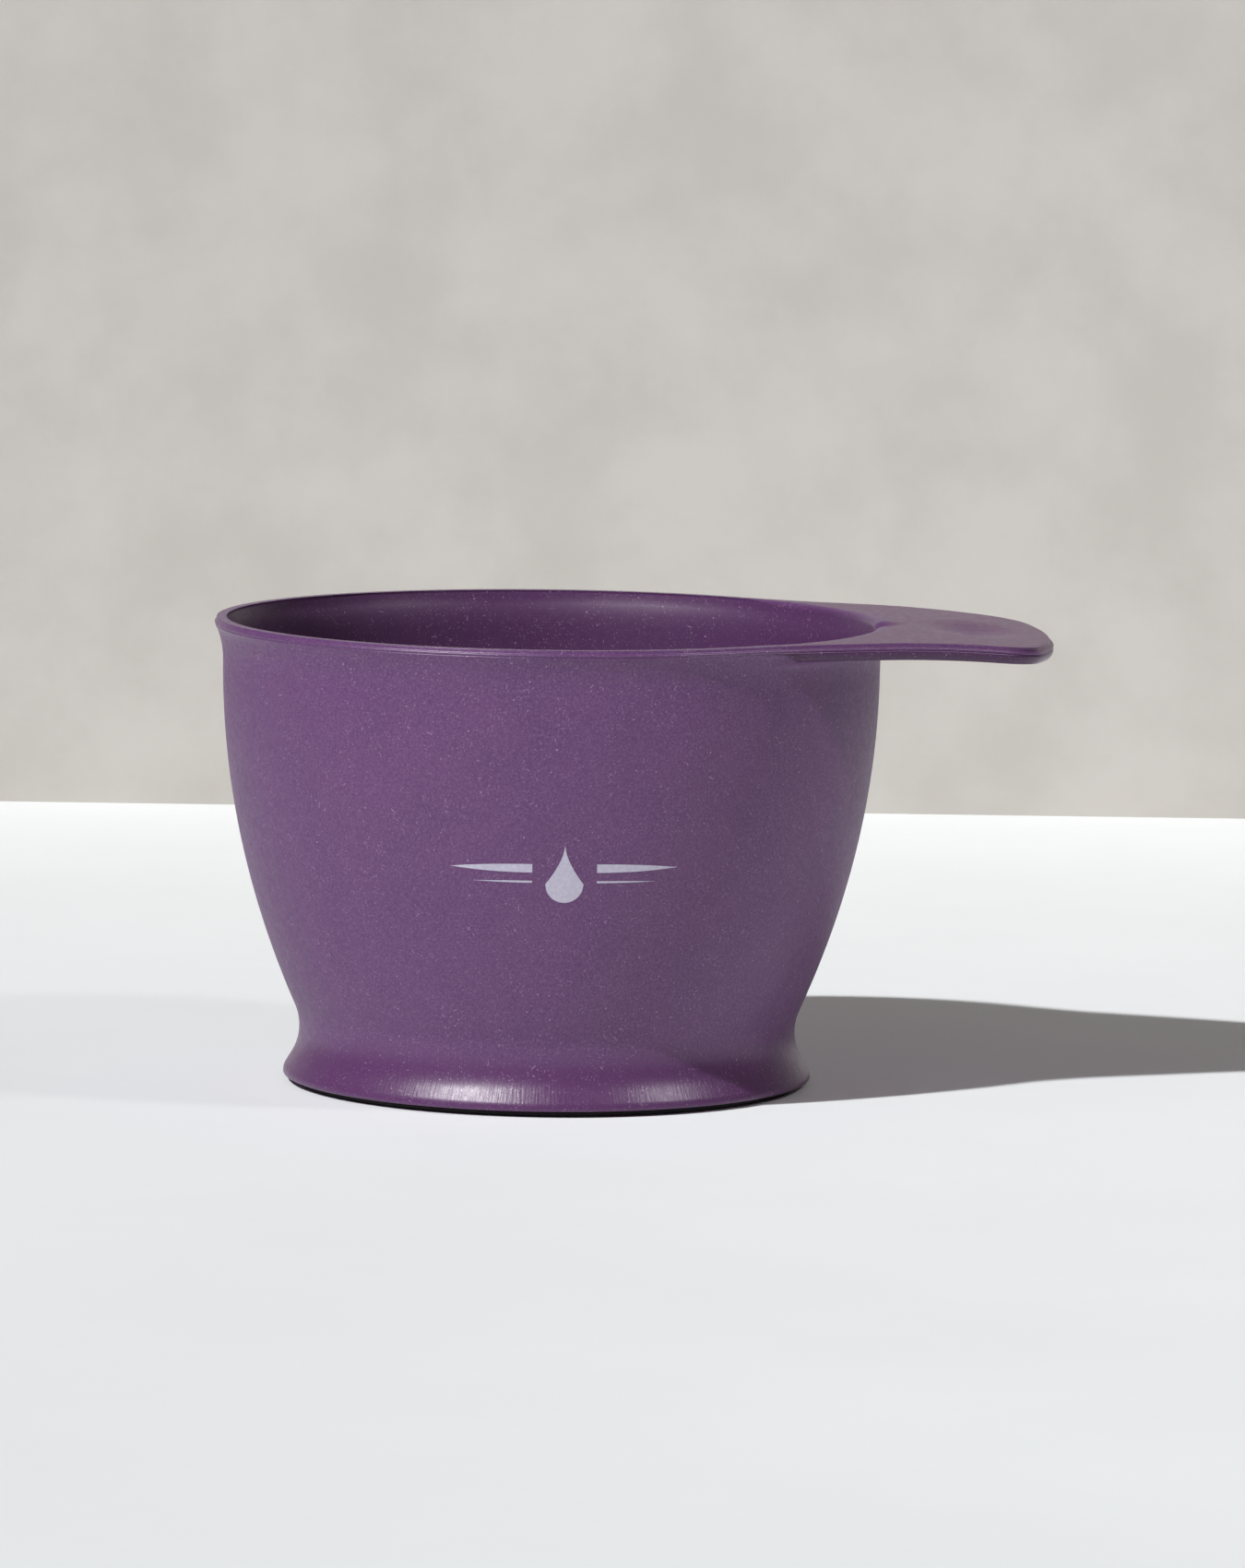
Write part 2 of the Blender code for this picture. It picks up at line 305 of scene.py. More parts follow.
def notch(x, y):
    """Depth of the notch that a tint brush rests in."""
    if x < 0:
        return 0.0
    across = smooth_step(1 - abs(y) / NOTCH_HALF_WIDTH)
    along = smooth_step((NOTCH_END - x) / (NOTCH_END - NOTCH_START))
    return NOTCH_DEPTH * across * along


LIP_ROUND_STEPS = 10
TOP_STEPS = 24
TOP_SPREAD = 1.3                # above 1, the points on top crowd towards the inner edge
UNDER_STEPS = 8
UNDER_FILLET_STEPS = 6
UNDER_MIN = 0.1 * MM            # least width of the handle's flat underside


def shell_section(angle, edge, slant):
    """All points (radius, height) of the shell at one angle.

    They go from the inside floor up the inner wall, over the lip or the handle, and down the
    outside to the hollow under the foot. Every section has the same number of points, so lip and
    handle change into each other as formed goes from 0 to 1.
    """
    formed = smooth_step((edge - RIM_RADIUS) / FORMED_REACH)
    lip_round = mix(LIP_ROUND, LIP_ROUND_HANDLE, formed)
    lip_start = TOP - lip_round
    inner_top = mix(LIP_INNER, LIP_INNER_HANDLE, formed)
    inner_wall = inner_radius(lip_start)

    def place(radius, height, carved=0.0):
        x = radius * math.cos(angle)
        y = radius * math.sin(angle)
        return (radius, height - droop(x) - carved * (dish(x, y) + notch(x, y)))

    points = inside_points(lip_start)
    for turn in evenly(0, 90, LIP_ROUND_STEPS)[:-1]:
        swing = math.radians(turn)
        radius = inner_top - (inner_top - inner_wall) * math.cos(swing)
        points.append(place(radius, lip_start + lip_round * math.sin(swing), math.sin(swing)))
    top_edge = edge - mix(LIP_EDGE[0][0], HANDLE_EDGE[0][0], formed) * MM * slant
    for share in evenly(0, 1, TOP_STEPS)[:-1]:
        points.append(place(mix(inner_top, top_edge, share ** TOP_SPREAD), TOP, 1.0))
    for (lip_in, lip_down), (handle_in, handle_down) in zip(LIP_EDGE, HANDLE_EDGE):
        inset = mix(lip_in, handle_in * slant, formed) * MM
        points.append(place(edge - inset, TOP - mix(lip_down, handle_down, formed) * MM))

    lip_downs = evenly(LIP_EDGE[-1][1], LIP_EDGE_END, len(HANDLE_UNDER))[1:]
    for (handle_in, handle_down), lip_down in zip(HANDLE_UNDER, lip_downs):
        outer = edge - handle_in * MM * slant
        flare = wall_radius(TOP - lip_down * MM)
        drop = mix(lip_down, handle_down, formed) * MM
        points.append(place(mix(flare, outer, formed), TOP - drop))

    under = TOP - PLATE
    root = under - UNDER_FILLET
    root_radius = wall_radius(root)
    under_end = edge - HANDLE_UNDER[-1][0] * MM * slant
    fillet_start = min(root_radius + UNDER_FILLET, under_end - UNDER_MIN)
    plain = [(mix(under_end, fillet_start, share), under)
             for share in evenly(0, 1, UNDER_STEPS)[1:]]
    fillet = [(root_radius + (fillet_start - root_radius) * (1 - math.cos(math.radians(turn))),
               root + UNDER_FILLET * math.sin(math.radians(turn)))
              for turn in evenly(90, 0, UNDER_FILLET_STEPS)[1:]]
    flare_heights = evenly(TOP - LIP_EDGE_END * MM, root, UNDER_STEPS + UNDER_FILLET_STEPS)[1:]
    for (radius, height), flare_height in zip(plain + fillet, flare_heights):
        points.append(place(mix(wall_radius(flare_height), radius, formed),
                            mix(flare_height, height, formed)))
    return points + outside_points(root)


# ---------------------------------------------------------------- mesh helpers

def add_piece(name, vertices, faces, finish):
    """A smooth-shaded mesh object about the bowl's axis that rides on the one body."""
    mesh = bpy.data.meshes.new(name)
    mesh.from_pydata([(x + AXIS_X, y, z) for x, y, z in vertices], [], faces)
    mesh.validate()
    mesh.shade_smooth()
    mesh.set_sharp_from_angle(angle=SHARP_ANGLE)
    mesh.materials.append(finish)
    piece = bpy.data.objects.new(name, mesh)
    bpy.context.collection.objects.link(piece)
    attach(piece, "root")
    return piece


def make_shell(finish):
    """The whole moulding as one closed skin, with a centre point above and below the floor."""
    vertices, faces = [], []
    outline = full_outline()
    for angle, edge, slant in outline:
        section = shell_section(angle, edge, slant)
        vertices += [(r * math.cos(angle), r * math.sin(angle), z) for r, z in section]
    count = len(section)
    floor = len(vertices)
    vertices += [(0, 0, FLOOR_HEIGHT), (0, 0, RECESS_TOP)]
    for column in range(len(outline)):
        here = column * count
        there = (column + 1) % len(outline) * count
        faces.append((floor, here, there))
        faces.append((floor + 1, there + count - 1, here + count - 1))
        for step in range(count - 1):
            faces.append((here + step, here + step + 1, there + step + 1, there + step))
    return add_piece("shell_skin", vertices, faces, finish)


RING_STEPS = 240
TREAD_ROUND_STEPS = 4


def make_ring(finish):
    """The rubber ring with its tread's corners softened."""
    tread_top = FOOT_BOTTOM - GAP
    profile = [(STEM_OUTER, STEM_TOP), (STEM_OUTER, tread_top)]
    for radius, height, start in ((TREAD_OUTER - TREAD_ROUND, tread_top - TREAD_ROUND, 90),
                                  (TREAD_OUTER - TREAD_ROUND, TREAD_ROUND, 0),
                                  (TREAD_INNER + TREAD_ROUND, TREAD_ROUND, 270),
                                  (TREAD_INNER + TREAD_ROUND, tread_top - TREAD_ROUND, 180)):
        profile += arc((radius, height), TREAD_ROUND, start, start - 90, TREAD_ROUND_STEPS)
    profile += [(STEM_INNER, tread_top), (STEM_INNER, STEM_TOP)]
    vertices, faces = [], []
    for step in range(RING_STEPS):
        angle = math.tau * step / RING_STEPS
        vertices += [(r * math.cos(angle), r * math.sin(angle), z) for r, z in profile]
    count = len(profile)
    for step in range(RING_STEPS):
        here = step * count
        there = (step + 1) % RING_STEPS * count
        for corner in range(count):
            following = (corner + 1) % count
            faces.append((here + corner, there + corner, there + following, here + following))
    return add_piece("ring_tread", vertices, faces, finish)


# ---------------------------------------------------------------- printed mark

MARK_HEIGHT = 43.6 * MM         # middle of the mark above the table
MARK_TURN = math.radians(3.3)   # how far round from the front its middle is
INK_PROUD = 0.03 * MM
INK_BURIED = 0.04 * MM

DROP_HALF = 3.3 * MM            # half the drop's width
DROP_LOW = -5.0 * MM            # heights of its ends and its widest place from the mark's middle
DROP_HIGH = 5.2 * MM
DROP_BELLY = -1.7 * MM
DROP_TAPER = 0.62               # below 1, the drop's sides curve in towards its point

# The rules on each side of the drop: (distance of the near end, length, height, thickness), in mm.
RULES = [(5.6, 14.4, 1.1, 1.5), (5.6, 10.2, -1.3, 0.36)]
RULE_TAPER = 2.2
RULE_END = 0.05 * MM            # thickness of a rule at its far end


def on_wall(across, up, proud):
    """A point on the front of the wall: across and up are measured from the mark's middle."""
    height = MARK_HEIGHT + up
    radius = wall_radius(height) + proud
    angle = across / radius + MARK_TURN
    return (radius * math.sin(angle), -radius * math.cos(angle), height)


def ink_strip(vertices, faces, left, right, low, high, columns=28, rows=6):
    """Adds a thin closed patch of ink between the curves low(across) and high(across)."""
    first = len(vertices)
    for proud in (INK_PROUD, -INK_BURIED):
        for across in evenly(left, right, columns):
            bottom, top = low(across), high(across)
            for share in evenly(0, 1, rows):
                vertices.append(on_wall(across, mix(bottom, top, share), proud))
    stride = rows + 1
    back = first + (columns + 1) * stride

    def rim(a, b):
        faces.append((first + a, back + a, back + b, first + b))

    for column in range(columns):
        for row in range(rows):
            a = column * stride + row
            faces.append((first + a, first + a + stride, first + a + stride + 1, first + a + 1))
            faces.append((back + a, back + a + 1, back + a + stride + 1, back + a + stride))
        rim(column * stride, (column + 1) * stride)
        rim((column + 1) * stride + rows, column * stride + rows)
    for row in range(rows):
        rim(row + 1, row)
        rim(columns * stride + row, columns * stride + row + 1)


def make_mark(finish):
    """A generic mark: a drop of tint between two pairs of tapered rules."""
    vertices, faces = [], []

    def drop_top(across):
        share = min(abs(across) / DROP_HALF, 1.0)
        return mix(DROP_HIGH, DROP_BELLY, share ** DROP_TAPER)

    def drop_bottom(across):
        share = min(abs(across) / DROP_HALF, 1.0)
        return DROP_BELLY - (DROP_BELLY - DROP_LOW) * math.sqrt(max(1 - share * share, 0.0))

    ink_strip(vertices, faces, -DROP_HALF, DROP_HALF, drop_bottom, drop_top,
              columns=40, rows=10)
    for side in (-1, 1):
        for start, length, up, thick in RULES:
            near = side * start * MM
            far = side * (start + length) * MM

            def half_thick(across, near=near, far=far, thick=thick):
                share = abs(across - near) / abs(far - near)
                return max(thick * MM * (1 - share ** RULE_TAPER), RULE_END) / 2

            def low(across, up=up, half_thick=half_thick):
                return up * MM - half_thick(across)

            def high(across, up=up, half_thick=half_thick):
                return up * MM + half_thick(across)

            ink_strip(vertices, faces, min(near, far), max(near, far), low, high)
    return add_piece("front_mark", vertices, faces, finish)


# ---------------------------------------------------------------- materials

class Nodes:
    """Short ways to add and link shader nodes."""

    def __init__(self, name):
        self.material = bpy.data.materials.new(name)
        self.material.use_nodes = True
        self.tree = self.material.node_tree
        self.shader = self.tree.nodes["Principled BSDF"]

    def add(self, kind, **settings):
        node = self.tree.nodes.new(kind)
        for key, value in settings.items():
            setattr(node, key, value)
        return node

    def link(self, source, target):
        self.tree.links.new(source, target)

    def math(self, operation, first, second=None):
        node = self.add("ShaderNodeMath", operation=operation)
        for socket, value in zip(node.inputs, (first, second)):
            if value is None:
                continue
            if isinstance(value, (int, float)):
                socket.default_value = value
            else:
                self.link(value, socket)
        return node.outputs[0]

    def vector(self, operation, first, second=None):
        node = self.add("ShaderNodeVectorMath", operation=operation)
        for socket, value in zip(node.inputs, (first, second)):
            if value is None:
                continue
            if isinstance(value, tuple):
                socket.default_value = value
            else:
                self.link(value, socket)
        return node

    def ramp(self, value, low, high, out_low=0.0, out_high=1.0):
        """Goes smoothly from out_low to out_high while value goes from low to high."""
        node = self.add("ShaderNodeMapRange", interpolation_type="SMOOTHSTEP")
        self.link(value, node.inputs["Value"])
        for key, number in (("From Min", low), ("From Max", high),
                            ("To Min", out_low), ("To Max", out_high)):
            node.inputs[key].default_value = number
        return node.outputs["Result"]

    def noise(self, place, scale, detail=2.0, roughness=0.5):
        node = self.add("ShaderNodeTexNoise")
        self.link(place, node.inputs["Vector"])
        node.inputs["Scale"].default_value = scale
        node.inputs["Detail"].default_value = detail
        node.inputs["Roughness"].default_value = roughness
        return node.outputs["Fac"]

    def blend(self, share, first, second):
        """The colour first where share is 0, and second where it is 1."""
        node = self.add("ShaderNodeMix", data_type="RGBA")
        self.link(share, node.inputs["Factor"])
        for socket, colour in ((node.inputs[6], first), (node.inputs[7], second)):
            if isinstance(colour, tuple):
                socket.default_value = (*colour, 1.0)
            else:
                self.link(colour, socket)
        return node.outputs[2]

    def bump(self, height, distance, strength, normal=None):
        node = self.add("ShaderNodeBump")
        self.link(height, node.inputs["Height"])
        node.inputs["Distance"].default_value = distance
        node.inputs["Strength"].default_value = strength
        if normal is not None:
            self.link(normal, node.inputs["Normal"])
        return node.outputs["Normal"]


# The cup's colour drifts between dark and light, with a pale grain over both.
CUP_DARK = (0.106, 0.036, 0.134)
CUP_LIGHT = (0.120, 0.040, 0.142)
CUP_GRAIN = (0.175, 0.085, 0.195)
# Painted shade: the foot is darker purple where the belly's overhang shades it.
FOOT_PAINTED_SHADE = (0.098, 0.033, 0.111)
# Painted shade: the inside of the cup is darker.
INSIDE_PAINTED_SHADE = (0.094, 0.030, 0.106)
# Painted shade under the handle's bead, on its lower edge.
UNDER_PAINTED_SHADE = (0.062, 0.014, 0.070)
# Painted warm light on the handle's flat top.
TOP_PAINTED_WARM_LIGHT = (0.124, 0.042, 0.114)
FIBRE_COLOUR = (0.40, 0.25, 0.40)
DOT_COLOUR = (0.55, 0.36, 0.48)

# Lowest and highest roughness of the cup and of the foot, lip and handle.
SATIN = (0.44, 0.54)
POLISHED = (0.31, 0.38)

# Where the plastic's look changes, in gloss and in painted light and shade: each pair is where the
# change starts and where it ends.
FOOT_HEIGHTS = (WAIST_HEIGHT - 3.4 * MM, WAIST_HEIGHT + 3.5 * MM)
LIP_LEVELS = (-3.4 * MM, -0.9 * MM)
FLAT_LEVELS = (-1.5 * MM, -0.1 * MM)
FLAT_REACHES = (-1.0 * MM, 1.5 * MM)
FLAT_UPWARD = (0.55, 0.9)
FLAT_IN_DISH = 0.25             # share of the flat top's painted warm light left deep in the dish, so the dish is darker there as painted shade
UNDER_LEVELS = (-1.3 * MM, -0.95 * MM)
UNDER_REACHES = (0.1 * MM, 0.7 * MM)
UNDER_UPWARD = (0.2, 0.5)
INSIDE_REACHES = (-1.6 * MM, -2.4 * MM)
INSIDE_OUTWARD = (-0.03, 0.0)

INK_DARK = (0.50, 0.46, 0.58)
INK_LIGHT = (0.58, 0.55, 0.66)
RUBBER_DARK = (0.010, 0.009, 0.010)
RUBBER_LIGHT = (0.026, 0.024, 0.026)


FIBRE_CORE = 0.4                # share of a fibre's thickness that is fully pale
FIBRE_MIDDLE = 0.8              # share of its length that is fully pale


def fibres(nodes, place, cell, half_length, thickness, shift):
    """Mask of short straight fibres, one in each cell, each pointing its own way."""
    moved = nodes.vector("ADD", place, shift).outputs[0]
    cells = nodes.add("ShaderNodeTexVoronoi", feature="F1", voronoi_dimensions="3D")
    nodes.link(moved, cells.inputs["Vector"])
    cells.inputs["Scale"].default_value = 1 / cell
    away = nodes.vector("SUBTRACT", moved, cells.outputs["Position"]).outputs[0]
    random = nodes.vector("SUBTRACT", cells.outputs["Color"], (0.5, 0.5, 0.5)).outputs[0]
    heading = nodes.vector("NORMALIZE", random).outputs[0]
    along = nodes.vector("DOT_PRODUCT", away, heading).outputs["Value"]
    reach = nodes.vector("LENGTH", away).outputs["Value"]
    beside = nodes.math("SUBTRACT", nodes.math("MULTIPLY", reach, reach),
                        nodes.math("MULTIPLY", along, along))
    beside = nodes.math("SQRT", nodes.math("MAXIMUM", beside, 0.0))
    thin = nodes.ramp(beside, thickness * FIBRE_CORE, thickness, 1.0, 0.0)
    short = nodes.ramp(nodes.math("ABSOLUTE", along),
                       half_length * FIBRE_MIDDLE, half_length, 1.0, 0.0)
    return nodes.math("MULTIPLY", thin, short)


def around_axis(nodes, place, radius, stretch):
    """Coordinates laid round the bowl's axis, with heights squeezed so that grain runs upright."""
    split = nodes.add("ShaderNodeSeparateXYZ")
    nodes.link(place, split.inputs[0])
    across = nodes.math("SUBTRACT", split.outputs["X"], AXIS_X)
    turn = nodes.math("ARCTAN2", split.outputs["Y"], across)
    joined = nodes.add("ShaderNodeCombineXYZ")
    nodes.link(nodes.math("MULTIPLY", turn, radius), joined.inputs["X"])
    nodes.link(nodes.math("MULTIPLY", split.outputs["Z"], stretch), joined.inputs["Z"])
    return joined.outputs[0]


def plastic_zones(nodes, place):
    """Masks of the foot, the lip and handle, the handle's flat top, its lower edge, and the inside.

    Level is the height above the lip or the drooping handle, and reach is the distance past the
    lip's outer edge. Upward is the upright part of the surface's normal, and outward is the part
    that points away from the axis, times the radius.
    """
    split = nodes.add("ShaderNodeSeparateXYZ")
    nodes.link(place, split.inputs[0])
    across = nodes.math("SUBTRACT", split.outputs["X"], AXIS_X)
    past = nodes.math("MAXIMUM", nodes.math("SUBTRACT", across, DROOP_START), 0.0)
    sunk = nodes.math("MULTIPLY", nodes.math("MULTIPLY", past, past), DROOP_CURVE)
    level = nodes.math("SUBTRACT", nodes.math("ADD", split.outputs["Z"], sunk), TOP)
    squares = nodes.math("ADD", nodes.math("MULTIPLY", across, across),
                         nodes.math("MULTIPLY", split.outputs["Y"], split.outputs["Y"]))
    reach = nodes.math("SUBTRACT", nodes.math("SQRT", squares), RIM_RADIUS)
    facing = nodes.add("ShaderNodeNewGeometry").outputs["Normal"]
    facing_parts = nodes.add("ShaderNodeSeparateXYZ")
    nodes.link(facing, facing_parts.inputs[0])
    upward = facing_parts.outputs["Z"]
    from_axis = nodes.add("ShaderNodeCombineXYZ")
    nodes.link(across, from_axis.inputs["X"])
    nodes.link(split.outputs["Y"], from_axis.inputs["Y"])
    outward = nodes.vector("DOT_PRODUCT", facing, from_axis.outputs[0]).outputs["Value"]

    foot = nodes.ramp(split.outputs["Z"], *FOOT_HEIGHTS, 1.0, 0.0)
    lip = nodes.ramp(level, *LIP_LEVELS)
    flat = nodes.math("MULTIPLY", nodes.ramp(upward, *FLAT_UPWARD),
                      nodes.ramp(level, *FLAT_LEVELS, FLAT_IN_DISH, 1.0))
    flat = nodes.math("MULTIPLY", flat, nodes.ramp(reach, *FLAT_REACHES))
    under = nodes.math("MULTIPLY", nodes.ramp(level, *UNDER_LEVELS, 1.0, 0.0),
                       nodes.ramp(upward, *UNDER_UPWARD, 1.0, 0.0))
    under = nodes.math("MULTIPLY", under, nodes.ramp(reach, *UNDER_REACHES))
    inside = nodes.math("MULTIPLY", nodes.ramp(outward, *INSIDE_OUTWARD, 1.0, 0.0),
                        nodes.ramp(reach, *INSIDE_REACHES))
    return foot, lip, flat, under, inside


def plastic_colour(nodes, place, foot, flat, under, inside):
    clouds = nodes.noise(place, scale=90.0, detail=3.0)
    base = nodes.blend(nodes.ramp(clouds, 0.3, 0.7), CUP_DARK, CUP_LIGHT)
    grain = nodes.noise(place, scale=2600.0, detail=2.0, roughness=0.6)
    base = nodes.blend(nodes.ramp(grain, 0.35, 0.70, 0.0, 0.7), base, CUP_GRAIN)
    # Painted shade on the foot.
    base = nodes.blend(foot, base, FOOT_PAINTED_SHADE)
    # Painted shade under the handle's lower edge.
    base = nodes.blend(under, base, UNDER_PAINTED_SHADE)
    # Painted warm light on the handle's flat top.
    base = nodes.blend(nodes.math("MULTIPLY", flat, 0.8), base, TOP_PAINTED_WARM_LIGHT)
    # Painted shade inside the cup.
    base = nodes.blend(nodes.math("MULTIPLY", inside, 0.9), base, INSIDE_PAINTED_SHADE)

    long_ones = fibres(nodes, place, cell=1.25 * MM, half_length=0.60 * MM,
                       thickness=0.11 * MM, shift=(0.0, 0.0, 0.0))
    short_ones = fibres(nodes, place, cell=0.58 * MM, half_length=0.28 * MM,
                        thickness=0.075 * MM, shift=(0.31, 0.17, 0.53))
    web = nodes.math("MAXIMUM", long_ones, nodes.math("MULTIPLY", short_ones, 0.95))
    clusters = nodes.ramp(nodes.noise(place, scale=260.0), 0.35, 0.65, 0.25, 1.0)
    web = nodes.math("MULTIPLY", web, clusters)
    base = nodes.blend(nodes.math("MULTIPLY", web, 0.7), base, FIBRE_COLOUR)

    dots = fibres(nodes, place, cell=2.5 * MM, half_length=0.17 * MM,
                  thickness=0.14 * MM, shift=(0.71, 0.37, 0.11))
    return nodes.blend(nodes.math("MULTIPLY", dots, 0.65), base, DOT_COLOUR)


def plastic_relief(nodes, place, foot):
    """Fine grain and slight waves all over, and upright streaks on the foot."""
    streak_place = around_axis(nodes, place, FOOT_RADIUS, stretch=0.12)
    streaks = nodes.noise(streak_place, scale=2200.0, detail=2.0, roughness=0.6)
    streaks = nodes.math("MULTIPLY", streaks, foot)
    grain = nodes.noise(place, scale=3200.0, detail=2.0, roughness=0.6)
    relief = nodes.bump(grain, distance=0.02 * MM, strength=0.35)
    waves = nodes.noise(place, scale=160.0, detail=1.0)
    relief = nodes.bump(waves, distance=0.10 * MM, strength=0.25, normal=relief)
    return nodes.bump(streaks, distance=0.08 * MM, strength=0.7, normal=relief)


def bowl_plastic():
    """Satin purple plastic with pale fibres and a few warm specks mixed in.

    The foot, lip and handle are glossier than the cup. The foot, the inside and the handle's lower
    The foot, the inside and the handle's lower edge are darker with painted shade, and the handle's
    flat top is warmer with painted light.
    """
    nodes = Nodes("bowl_plastic")
    place = nodes.add("ShaderNodeTexCoord").outputs["Object"]
    foot, lip, flat, under, inside = plastic_zones(nodes, place)
    polished = nodes.math("MAXIMUM", foot, nodes.math("MAXIMUM", lip, under))
    colour = plastic_colour(nodes, place, foot, flat, under, inside)
    nodes.link(colour, nodes.shader.inputs["Base Color"])

    smear = nodes.noise(place, scale=700.0, detail=3.0, roughness=0.6)
    rough = nodes.add("ShaderNodeMix", data_type="FLOAT")
    nodes.link(polished, rough.inputs[0])
    nodes.link(nodes.ramp(smear, 0.3, 0.7, *SATIN), rough.inputs[2])
    nodes.link(nodes.ramp(smear, 0.3, 0.7, *POLISHED), rough.inputs[3])
    nodes.link(rough.outputs[0], nodes.shader.inputs["Roughness"])

    nodes.link(plastic_relief(nodes, place, foot), nodes.shader.inputs["Normal"])
    nodes.shader.inputs["IOR"].default_value = 1.5
    return nodes.material


def ring_rubber():
    """Matt black rubber with a dusty bloom."""
    nodes = Nodes("ring_rubber")
    place = nodes.add("ShaderNodeTexCoord").outputs["Object"]
    bloom = nodes.noise(place, scale=420.0, detail=4.0, roughness=0.65)
    colour = nodes.blend(nodes.ramp(bloom, 0.4, 0.75), RUBBER_DARK, RUBBER_LIGHT)
    nodes.link(colour, nodes.shader.inputs["Base Color"])
    nodes.link(nodes.ramp(bloom, 0.3, 0.7, 0.62, 0.78), nodes.shader.inputs["Roughness"])
    grain = nodes.noise(place, scale=2400.0, detail=3.0)
    relief = nodes.bump(grain, distance=0.03 * MM, strength=0.4)
    nodes.link(relief, nodes.shader.inputs["Normal"])
    return nodes.material


def print_ink():
    """Pale lavender ink, a little uneven where the plastic's grain shows through."""
    nodes = Nodes("print_ink")
    place = nodes.add("ShaderNodeTexCoord").outputs["Object"]
    grain = nodes.noise(place, scale=1800.0, detail=3.0, roughness=0.6)
    colour = nodes.blend(nodes.ramp(grain, 0.35, 0.75), INK_DARK, INK_LIGHT)
    nodes.link(colour, nodes.shader.inputs["Base Color"])
    nodes.link(nodes.ramp(grain, 0.3, 0.7, 0.42, 0.52), nodes.shader.inputs["Roughness"])
    relief = nodes.bump(grain, distance=0.02 * MM, strength=0.3)
    nodes.link(relief, nodes.shader.inputs["Normal"])
    return nodes.material


def pale_surface(name, dark, light, scale):
    """Plain matt surface for the floor and the backdrop."""
    nodes = Nodes(name)
    place = nodes.add("ShaderNodeTexCoord").outputs["Object"]
    patches = nodes.noise(place, scale, detail=5.0, roughness=0.6)
    nodes.link(nodes.blend(nodes.ramp(patches, 0.3, 0.7), dark, light),
               nodes.shader.inputs["Base Color"])
    nodes.shader.inputs["Roughness"].default_value = 0.85
    nodes.shader.inputs["Specular IOR Level"].default_value = 0.2
    return nodes


# ---------------------------------------------------------------- stage, lights and camera

STAGE_SIZE = 3.0                # half the width of the floor and of the backdrop
FLOOR_DARK = (0.87, 0.87, 0.87)
FLOOR_LIGHT = (0.90, 0.90, 0.90)
BACKDROP_DARK = (0.530, 0.495, 0.462)
BACKDROP_LIGHT = (0.590, 0.552, 0.518)
# Painted shade on the backdrop's sides.
BACKDROP_PAINTED_DIM = (0.20, 0.19, 0.18)
BACKDROP_Y = 0.427
BACKDROP_HEIGHT = 0.26
BACKDROP_PAINTED_POOL = 0.22            # half the width of the pale middle of the backdrop, a painted pool of light
BACKDROP_DIMMED = 2.2 * BACKDROP_PAINTED_POOL

SUN_DIRECTION = Vector((0.683, 0.690, -1.0))
SUN_COLOUR = (0.95, 0.99, 1.0)
HIGHLIGHT_PLACE = Vector((-0.683, -0.690, 1.14)) * 0.92
FILL_TURN = math.radians(65)    # from the front towards the handle
FILL_RISE = math.radians(45)
FILL_DISTANCE = 1.2
GLOW_COLOUR = (1.0, 0.85, 0.87, 1.0)
SURROUND_COLOUR = (0.57, 0.54, 0.51, 1.0)

CAMERA_PLACE = (12.91 * MM + AXIS_X, -1543.6 * MM, 224.8 * MM)
CAMERA_DOWN = math.radians(6.337)
CAMERA_ROLL = 0.0140


def plane(name, corners, finish):
    mesh = bpy.data.meshes.new(name)
    mesh.from_pydata(corners, [], [(0, 1, 2, 3)])
    mesh.materials.append(finish)
    made = bpy.data.objects.new(name, mesh)
    bpy.context.collection.objects.link(made)
    return made


def make_stage():
    """A pale floor, and a backdrop that shows only from the front, with a painted pool of light in
    its middle and painted shade on its sides.
    """
    size = STAGE_SIZE
    floor = pale_surface("floor_white", FLOOR_DARK, FLOOR_LIGHT, scale=6.0)
    plane("floor", [(-size, -size, 0), (size, -size, 0), (size, size, 0), (-size, size, 0)],
          floor.material)

    wall = pale_surface("backdrop_grey", BACKDROP_DARK, BACKDROP_LIGHT, scale=30.0)
    split = wall.add("ShaderNodeSeparateXYZ")
    wall.link(wall.add("ShaderNodeTexCoord").outputs["Object"], split.inputs[0])
    # Painted pool of light: the backdrop darkens away from its middle.
    aside = wall.math("ABSOLUTE", split.outputs["X"])
    pool = wall.ramp(aside, BACKDROP_PAINTED_POOL, BACKDROP_DIMMED)
    lit = wall.shader.inputs["Base Color"].links[0].from_socket
    wall.link(wall.blend(pool, lit, BACKDROP_PAINTED_DIM), wall.shader.inputs["Base Color"])
    back = wall.add("ShaderNodeNewGeometry").outputs["Backfacing"]
    clear = wall.add("ShaderNodeBsdfTransparent")
    choose = wall.add("ShaderNodeMixShader")
    wall.link(back, choose.inputs[0])
    wall.link(wall.shader.outputs[0], choose.inputs[1])
    wall.link(clear.outputs[0], choose.inputs[2])
    wall.link(choose.outputs[0], wall.tree.nodes["Material Output"].inputs["Surface"])
    y, top = BACKDROP_Y, BACKDROP_HEIGHT
    plane("backdrop", [(-size, y, 0), (size, y, 0), (size, y, top), (-size, y, top)],
          wall.material)


def area_lamp(name, place, width, height, energy):
    """A soft lamp that shines at the middle of the bowl's foot."""
    data = bpy.data.lights.new(name, "AREA")
    data.shape = "RECTANGLE"
    data.size = width
    data.size_y = height
    data.energy = energy
    lamp = bpy.data.objects.new(name, data)
    lamp.location = place
    lamp.rotation_euler = (-place).to_track_quat("-Z", "Y").to_euler()
    bpy.context.collection.objects.link(lamp)
    return lamp


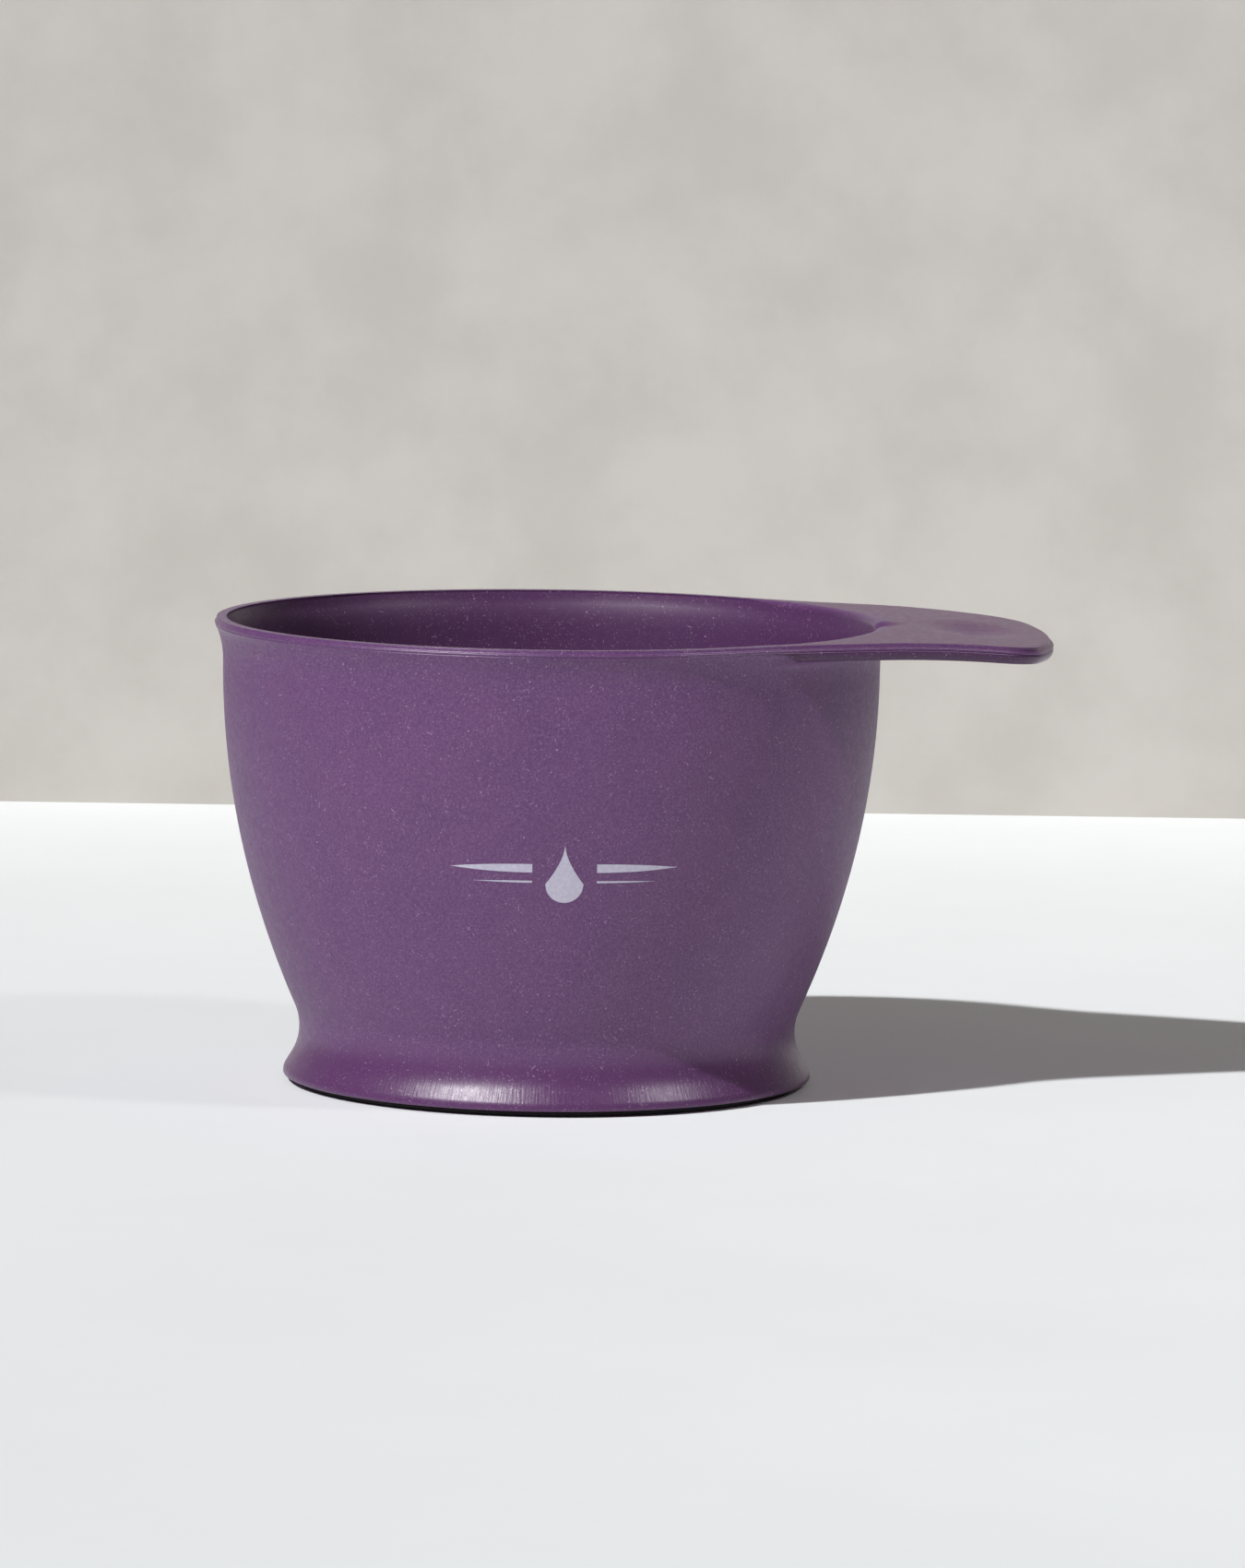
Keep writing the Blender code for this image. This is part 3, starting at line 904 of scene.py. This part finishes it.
def make_lights():
    """A sun and a fill that light the surfaces, and three lamps that only give highlights."""
    data = bpy.data.lights.new("key", "SUN")
    data.energy = 3.4
    data.angle = math.radians(2.0)
    data.color = SUN_COLOUR
    key = bpy.data.objects.new("key", data)
    key.rotation_euler = SUN_DIRECTION.to_track_quat("-Z", "Y").to_euler()
    bpy.context.collection.objects.link(key)

    toward_fill = Vector((math.sin(FILL_TURN) * math.cos(FILL_RISE),
                          -math.cos(FILL_TURN) * math.cos(FILL_RISE), math.sin(FILL_RISE)))
    fill_place = toward_fill * FILL_DISTANCE
    strip = area_lamp("strip", HIGHLIGHT_PLACE, width=0.75, height=0.10, energy=17.0)
    fill = area_lamp("fill", fill_place, width=0.12, height=0.12, energy=1.9)
    spark = area_lamp("spark", HIGHLIGHT_PLACE, width=0.05, height=0.05, energy=3.5)
    glint = area_lamp("glint", fill_place, width=0.22, height=0.22, energy=3.8)
    for lamp in (key, fill):
        lamp.visible_glossy = False
    for lamp in (strip, spark, glint):
        lamp.visible_diffuse = False


def make_world():
    """A faint glow on the surfaces, and a plain pale surround for the camera."""
    world = bpy.data.worlds.new("studio")
    world.use_nodes = True
    nodes, links = world.node_tree.nodes, world.node_tree.links
    glow = nodes["Background"]
    glow.inputs["Color"].default_value = GLOW_COLOUR
    glow.inputs["Strength"].default_value = 0.07
    surround = nodes.new("ShaderNodeBackground")
    surround.inputs["Color"].default_value = SURROUND_COLOUR
    choose = nodes.new("ShaderNodeMixShader")
    links.new(nodes.new("ShaderNodeLightPath").outputs["Is Camera Ray"], choose.inputs[0])
    links.new(glow.outputs[0], choose.inputs[1])
    links.new(surround.outputs[0], choose.inputs[2])
    links.new(choose.outputs[0], nodes["World Output"].inputs[0])
    bpy.context.scene.world = world


def make_camera():
    """A long lens in front of the bowl, a little above it, looking down by a few degrees."""
    data = bpy.data.cameras.new("camera")
    data.lens = 200.0
    data.sensor_width = 36.0
    data.clip_start = 0.1
    data.clip_end = 20.0
    camera = bpy.data.objects.new("camera", data)
    camera.location = CAMERA_PLACE
    tilt = Euler((math.radians(90) - CAMERA_DOWN, 0, 0)).to_matrix()
    camera.rotation_euler = (tilt @ Matrix.Rotation(CAMERA_ROLL, 3, "Z")).to_euler()
    bpy.context.collection.objects.link(camera)
    bpy.context.scene.camera = camera


make_camera()
make_stage()
make_lights()
make_world()

shell = make_shell(bowl_plastic())
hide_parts("bowl_shell")
ring = make_ring(ring_rubber())
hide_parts("non_slip_ring")
mark = make_mark(print_ink())

bpy.context.scene.view_settings.view_transform = "Standard"
